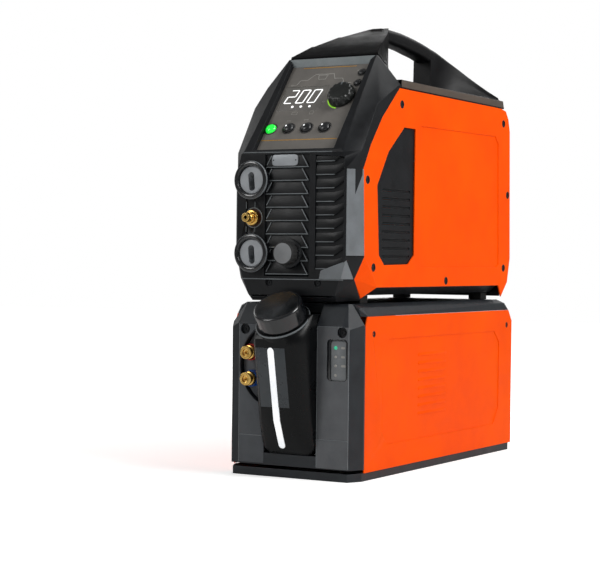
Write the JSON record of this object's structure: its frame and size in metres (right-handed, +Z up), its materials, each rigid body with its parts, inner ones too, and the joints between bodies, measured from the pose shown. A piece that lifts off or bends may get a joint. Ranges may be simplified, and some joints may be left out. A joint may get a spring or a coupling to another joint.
{
  "type": "tig welding machine",
  "caption": "Inverter TIG welding power source with sloping control panel and top handle, standing on a matching water cooler with a front coolant tank.",
  "frame": {"origin": "centre of the footprint, on the floor under the cooler", "axes": "+Z up, +Y towards the back (fan guards, mains switch), +X to the right of a person facing the control panel"},
  "size_m": [0.2178, 0.6106, 0.672],
  "materials": {
    "black_plastic": "satin moulded",
    "handle_black": "satin moulded",
    "cooler_black": "satin moulded",
    "button_black": "satin",
    "knob_black": "satin",
    "orange_paint": "satin powder coat",
    "gloss_black": "gloss",
    "facia_grey": "satin film",
    "smoked_window": "clear gloss",
    "green_lamp": "translucent, lit",
    "brass": "machined",
    "aluminium": "cast and extruded",
    "copper": "lacquered copper wire",
    "steel": "plated",
    "board_green": "solder mask",
    "red_plastic": "satin",
    "blue_plastic": "satin",
    "clear_strip": "translucent",
    "black_rubber": "matt"
  },
  "bodies": {
    "housing": {"cable_gland": "black_plastic", "control_board": "board_green", "control_socket": "black_plastic", "coolant_outlet_collar": "blue_plastic", "coolant_outlet_fitting": "brass", "coolant_return_collar": "red_plastic", "coolant_return_fitting": "brass", "coolant_tank": "gloss_black", "cooler_base": "cooler_black", "cooler_fan_frame": "black_plastic", "cooler_front_cover": "cooler_black", "cooler_left_panel": "orange_paint", "cooler_rear_panel": "cooler_black", "cooler_right_panel": "orange_paint", "cooler_top_tray": "cooler_black", "display_facia": "facia_grey", "display_window": "smoked_window", "front_frame": "black_plastic", "front_left_foot": "black_rubber", "front_right_foot": "black_rubber", "gas_inlet": "brass", "gas_outlet": "brass", "gas_valve": "brass", "heat_sink": "aluminium", "lamp_panel": "facia_grey", "left_side_panel": "orange_paint", "left_vent_grille": "black_plastic", "level_window": "clear_strip", "main_board": "board_green", "main_transformer": "steel", "mains_switch_body": "black_plastic", "negative_socket_contact": "steel", "negative_socket_ring": "gloss_black", "output_choke": "copper", "positive_socket_contact": "steel", "positive_socket_ring": "gloss_black", "power_base_tray": "black_plastic", "power_fan_frame": "black_plastic", "pump_housing": "aluminium", "pump_motor": "steel", "radiator": "aluminium", "rear_left_foot": "black_rubber", "rear_panel": "black_plastic", "rear_right_foot": "black_rubber", "right_side_panel": "orange_paint", "right_vent_grille": "black_plastic", "top_cover": "handle_black"},
    "control_knob": {"control_knob": "knob_black"},
    "mode_button_1": {"mode_button_1": "green_lamp"},
    "mode_button_2": {"mode_button_2": "button_black"},
    "mode_button_3": {"mode_button_3": "button_black"},
    "mode_button_4": {"mode_button_4": "button_black"},
    "side_button_1": {"side_button_1": "button_black"},
    "side_button_2": {"side_button_2": "button_black"},
    "mains_rocker": {"mains_rocker": "red_plastic"},
    "control_socket_cap": {"control_socket_cap": "black_rubber"},
    "filler_cap": {"filler_cap": "gloss_black"},
    "power_fan_rotor": {"power_fan_rotor": "black_plastic"},
    "cooler_fan_rotor": {"cooler_fan_rotor": "black_plastic"},
    "pump_impeller": {"pump_impeller": "black_plastic"}
  },
  "joints": [
    {"name": "control_knob_turn", "type": "hinge", "parent": "housing", "child": "control_knob", "pos_m": [0.04, -0.173, 0.55369], "axis": [0, -0.783, 0.6221], "continuous": true},
    {"name": "mode_button_1_press", "type": "slide", "parent": "housing", "child": "mode_button_1", "axis": [0, 0.783, -0.6221], "range_m": [0, 0.0012], "stiffness_N_per_m": 400, "springref_m": -0.0004},
    {"name": "mode_button_2_press", "type": "slide", "parent": "housing", "child": "mode_button_2", "axis": [0, 0.783, -0.6221], "range_m": [0, 0.0012], "stiffness_N_per_m": 400, "springref_m": -0.0004},
    {"name": "mode_button_3_press", "type": "slide", "parent": "housing", "child": "mode_button_3", "axis": [0, 0.783, -0.6221], "range_m": [0, 0.0012], "stiffness_N_per_m": 400, "springref_m": -0.0004},
    {"name": "mode_button_4_press", "type": "slide", "parent": "housing", "child": "mode_button_4", "axis": [0, 0.783, -0.6221], "range_m": [0, 0.0012], "stiffness_N_per_m": 400, "springref_m": -0.0004},
    {"name": "side_button_1_press", "type": "slide", "parent": "housing", "child": "side_button_1", "axis": [0, 0.783, -0.6221], "range_m": [0, 0.0008], "stiffness_N_per_m": 400, "springref_m": -0.0004},
    {"name": "side_button_2_press", "type": "slide", "parent": "housing", "child": "side_button_2", "axis": [0, 0.783, -0.6221], "range_m": [0, 0.0008], "stiffness_N_per_m": 400, "springref_m": -0.0004},
    {"name": "mains_rocker_tilt", "type": "hinge", "parent": "housing", "child": "mains_rocker", "pos_m": [-0.062, 0.29032, 0.5], "axis": [1, 0, 0], "range_deg": [0, 22]},
    {"name": "control_socket_cap_pull", "type": "slide", "parent": "housing", "child": "control_socket_cap", "axis": [0, -1, 0], "range_m": [0, 0.02]},
    {"name": "filler_cap_lift", "type": "slide", "parent": "housing", "child": "filler_cap", "axis": [0, -0.5878, 0.809], "range_m": [0, 0.03]},
    {"name": "power_fan_spin", "type": "hinge", "parent": "housing", "child": "power_fan_rotor", "pos_m": [0.02, 0.25433, 0.372], "axis": [0, 1, 0], "continuous": true},
    {"name": "cooler_fan_spin", "type": "hinge", "parent": "housing", "child": "cooler_fan_rotor", "pos_m": [0.02, 0.25133, 0.116], "axis": [0, 1, 0], "continuous": true},
    {"name": "pump_impeller_spin", "type": "hinge", "parent": "housing", "child": "pump_impeller", "pos_m": [-0.04, -0.11868, 0.07], "axis": [0, 1, 0], "continuous": true}
  ]
}
